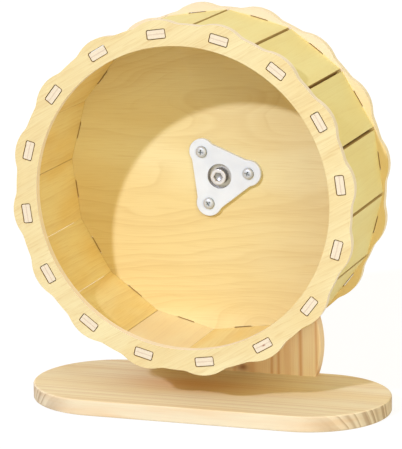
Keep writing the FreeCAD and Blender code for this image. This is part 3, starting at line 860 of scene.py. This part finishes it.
def screwPlaces():  # middle of each screw's shank, from the solids
    corners = [vertex.co for vertex in nodes["hub_screws"].data.vertices]
    first = turnOf(middleOf("slat_01")) + math.tau / 4
    step = math.tau / screwLook["count"]
    places = []
    for number in range(screwLook["count"]):
        turn = first + step * number
        way = Vector((math.sin(turn), math.cos(turn)))
        near = math.cos(step / 2)
        mine = [corner for corner in corners if (corner - axle).xz.normalized().dot(way) > near]
        spans = [sorted(corner[i] for corner in mine) for i in (0, 2)]
        x, z = ((span[0] + span[-1]) / 2 for span in spans)
        places.append(Vector((x, 0, z)))
    return places


def crossMeshes(face):  # two tapered blades, the second one across the first
    look = screwLook
    blades = []
    for across in (False, True):
        outlines = []
        for along, size in ((face - look["cutStart"], 0), (face + look["crossDepth"], 1)):
            reach, half = look["crossReach"][size], look["crossHalf"][size]
            outline = [(-reach, -half), (reach, -half), (reach, half), (-reach, half)]
            outlines.append((along, [(-z, x) for x, z in outline] if across else outline))
        blades.append(prismMesh("blade", outlines))
    return blades


def screwMesh(turn):
    look = screwLook
    face, end = lowOf("hub_screws", "Y"), highOf("hub_screws", "Y")
    seat = face + look["headHeight"]
    shank, headRadius, underEdge = look["shankRadius"], look["headRadius"], look["underEdge"]

    def shape(along, radius, angle):
        if along > seat + look["plainLength"]:
            wave = triangleWave(along / look["threadPitch"] - angle / math.tau)
            return radius - look["threadDepth"] * wave * radius / shank
        return radius

    dome = look["headHeight"] - look["skirt"]
    crown = headRadius * look["crown"]
    profile = [(face, 0), *arcPoints((face + dome, crown), (-dome, headRadius - crown), look["domeSteps"])]
    profile += [(seat - underEdge, headRadius), (seat, headRadius - underEdge), (seat, shank)]
    step = look["threadPitch"] / look["threadRows"]
    tipStart = end - shank
    count = int((tipStart - seat) / step)
    profile += [(seat + step * (row + 1), shank) for row in range(count)]
    profile += [(tipStart, shank), (end, 0)]
    mesh = carve(turnedMesh("hubScrew", profile, look["steps"], shape), crossMeshes(face))
    mesh.transform(Matrix.Rotation(math.radians(turn), 4, "Y"))
    return mesh


def screwRecess(finish, place):  # painted shade in the recess and under the head's rim
    look = screwLook
    face = lowOf("hub_screws", "Y")
    seat = face + look["headHeight"]
    deep = finish.between(place[1], *(face + depth for depth in look["crossShadeStart"]))
    steep = finish.between(finish.math("ABSOLUTE", finish.facing((0, 1, 0))), *look["crossShadeTurn"])
    rim = finish.between(place[1], *(seat - height for height in look["rimShadeStart"]))
    cross = finish.share(finish.share(deep, steep), look["crossShade"])
    return finish.math("MAXIMUM", cross, finish.share(rim, look["rimShade"]))


def makeHubScrews():
    joined = bmesh.new()
    for place, turn in zip(screwPlaces(), screwLook["crossTurns"]):
        mesh = screwMesh(turn)
        mesh.transform(Matrix.Translation(place))
        joined.from_mesh(mesh)
        bpy.data.meshes.remove(mesh)
    mesh = bpy.data.meshes.new("hubScrews")
    joined.to_mesh(mesh)
    joined.free()
    steel = metalFinish("screwSteel", *screwLook["steel"], screwRecess, screwLook["shade"])
    addPiece("hubScrews", mesh, steel, "wheel", "screw_steel", "hub_screws")


makeHubScrews()
print("hub screws made")


# bearing shields: pressed sheet with a rolled groove

shieldLook = {
    "bore": 5.15,
    "groove": 0.12,
    # share of the width from the bore outwards, and of the groove's depth there
    "profile": ((0.0, 0), (0.16, 0), (0.24, 1), (0.66, 1), (0.74, 0), (0.94, 0), (1.0, 1)),
    "steps": 72,
}


def shieldMesh(node, sign):  # sign is -1 where the outside faces the front
    look = shieldLook
    low, high = lowOf(node, "Y"), highOf(node, "Y")
    outside, inside = (low, high) if sign < 0 else (high, low)
    reach = radiusOf(node)
    wide = reach - look["bore"]
    groove = sign * look["groove"]
    front = [(outside - groove * sunk, look["bore"] + wide * share) for share, sunk in look["profile"]]
    back = [(inside, reach), (inside, look["bore"])]
    mesh = turnedMesh(node + "Pressed", front + back + front[:1], look["steps"])
    build = bmesh.new()
    build.from_mesh(mesh)
    bmesh.ops.remove_doubles(build, verts=build.verts, dist=1e-7)  # closes the profile on itself
    bmesh.ops.recalc_face_normals(build, faces=build.faces)
    build.to_mesh(mesh)
    build.free()
    mesh.transform(Matrix.Translation((axle.x, 0, axle.z)))
    return mesh


addPiece("shieldFront", shieldMesh("bearing_shield_front", -1), metals["pressedSteel"], "wheel",
         "shield_steel", "bearing_shield_front")
addPiece("shieldRear", shieldMesh("bearing_shield_rear", 1), metals["pressedSteel"], "wheel",
         "shield_steel", "bearing_shield_rear")
print("bearing shields made")


# stage: white room, pale floor, a cool key lamp, a warm fill from the front right and a fill from behind

stageLook = {
    "floorSize": 6.0,
    "floorDrop": 0.0002,
    "floorPale": 0.8,
    "floorShown": 0.87,
    "floorLit": 0.18,
    "room": (1.0, 0.882, 0.675, 1),
    "roomStrength": (0.17, 0.8),  # at the horizon and overhead
}
keyLook = {
    "path": Vector((0.254, 1.0, -0.601)),  # way that the light travels
    "spread": math.radians(2.4),
    "strength": 2.6,
    "colour": (0.601, 0.673, 1.0),
    "place": Vector((-0.5, -1.8, 1.3)),
}
fillLooks = {
    "fillFront": {
        "place": Vector((1.15, -1.45, 0.95)),
        "size": 1.3,
        "power": 16.5,
        "colour": (1.0, 1.0, 0.83),
    },
    "fillBack": {
        "place": Vector((-1.4, 1.45, 0.2)),
        "size": 0.7,
        "power": 14.0,
        "colour": (1.0, 0.95, 0.9),
    },
}


def shownRays(path, maximum):  # rays that see the white room: camera, glossy and transmission
    return maximum(maximum(path["Is Camera Ray"], path["Is Glossy Ray"]), path["Is Transmission Ray"])


def makeFloor():
    half = stageLook["floorSize"] / 2
    corners = [(-half, -half, 0), (half, -half, 0), (half, half, 0), (-half, half, 0)]
    mesh = bpy.data.meshes.new("floor")
    mesh.from_pydata(corners, [], [(0, 1, 2, 3)])
    floor = bpy.data.objects.new("floor", mesh)
    floor.location.z = -stageLook["floorDrop"]
    bpy.context.collection.objects.link(floor)
    finish = Finish("paleFloor")

    def maximum(first, second):
        return finish.math("MAXIMUM", first, second)

    def diffuse(level):
        return finish.add("BsdfDiffuse", {"Color": (level, level, level, 1)}).outputs[0]

    plain = diffuse(stageLook["floorPale"])
    lit = diffuse(stageLook["floorLit"])
    white = finish.add("Emission", {"Color": (1, 1, 1, 1), "Strength": stageLook["floorShown"]}).outputs[0]
    shown = finish.add("AddShader", {0: lit, 1: white}).outputs[0]
    rays = shownRays(finish.add("LightPath").outputs, maximum)
    mixed = finish.add("MixShader", {0: rays, 1: plain, 2: shown}).outputs[0]
    finish.add("OutputMaterial", {"Surface": mixed})
    mesh.materials.append(finish.material)


def makeWorld():
    world = bpy.data.worlds.new("whiteRoom")
    world.use_nodes = True
    bpy.context.scene.world = world
    tree = world.node_tree
    tree.nodes.clear()

    def maximum(first, second):
        node = tree.nodes.new("ShaderNodeMath")
        node.operation = "MAXIMUM"
        tree.links.new(first, node.inputs[0])
        tree.links.new(second, node.inputs[1])
        return node.outputs[0]

    way = tree.nodes.new("ShaderNodeSeparateXYZ")
    tree.links.new(tree.nodes.new("ShaderNodeTexCoord").outputs["Generated"], way.inputs[0])
    height = tree.nodes.new("ShaderNodeMapRange")
    tree.links.new(way.outputs["Z"], height.inputs["Value"])
    height.inputs["To Min"].default_value, height.inputs["To Max"].default_value = stageLook["roomStrength"]
    light = tree.nodes.new("ShaderNodeBackground")
    tree.links.new(height.outputs["Result"], light.inputs["Strength"])
    light.inputs["Color"].default_value = stageLook["room"]
    shown = tree.nodes.new("ShaderNodeBackground")
    shown.inputs["Color"].default_value = (1, 1, 1, 1)
    mix = tree.nodes.new("ShaderNodeMixShader")
    tree.links.new(shownRays(tree.nodes.new("ShaderNodeLightPath").outputs, maximum), mix.inputs[0])
    tree.links.new(light.outputs[0], mix.inputs[1])
    tree.links.new(shown.outputs[0], mix.inputs[2])
    output = tree.nodes.new("ShaderNodeOutputWorld")
    tree.links.new(mix.outputs[0], output.inputs["Surface"])


def hangLamp(name, kind, place, path, **settings):
    lamp = bpy.data.lights.new(name, kind)
    for key, value in settings.items():
        setattr(lamp, key, value)
    holder = bpy.data.objects.new(name, lamp)
    holder.location = place
    holder.rotation_mode = "QUATERNION"
    holder.rotation_quaternion = path.to_track_quat("-Z", "Y")
    bpy.context.collection.objects.link(holder)


makeFloor()
makeWorld()
hangLamp("key", "SUN", keyLook["place"], keyLook["path"], energy=keyLook["strength"],
         angle=keyLook["spread"], color=keyLook["colour"])
for name, fill in fillLooks.items():
    hangLamp(name, "AREA", fill["place"], axle - fill["place"], shape="DISK", size=fill["size"],
             energy=fill["power"], color=fill["colour"])


# camera at the photograph's angle, for a picture of 402 by 449

cameraLook = {
    "azimuth": math.radians(18.816),
    "elevation": math.radians(12.132),
    "roll": math.radians(0.904),
    "aim": Vector((0.01249, -0.05017, 0.12466)),
    "distance": 1.6532,
    "lens": 222.16,
    "clipEnd": 20.0,
}


def makeCamera():
    azimuth, elevation = cameraLook["azimuth"], cameraLook["elevation"]
    ahead = Vector((-math.sin(azimuth) * math.cos(elevation), math.cos(azimuth) * math.cos(elevation),
                    -math.sin(elevation)))
    level = Vector((math.cos(azimuth), math.sin(azimuth), 0))
    down = ahead.cross(level)
    turn = cameraLook["roll"]
    right = math.cos(turn) * level + math.sin(turn) * down
    up = math.sin(turn) * level - math.cos(turn) * down
    lensData = bpy.data.cameras.new("camera")
    lensData.lens = cameraLook["lens"]
    lensData.clip_end = cameraLook["clipEnd"]
    camera = bpy.data.objects.new("camera", lensData)
    camera.matrix_world = Matrix((right, up, -ahead)).transposed().to_4x4()
    camera.location = cameraLook["aim"] - ahead * cameraLook["distance"]
    bpy.context.collection.objects.link(camera)
    bpy.context.scene.camera = camera


makeCamera()
bpy.context.scene.view_settings.view_transform = "Standard"
print("stage and camera set")
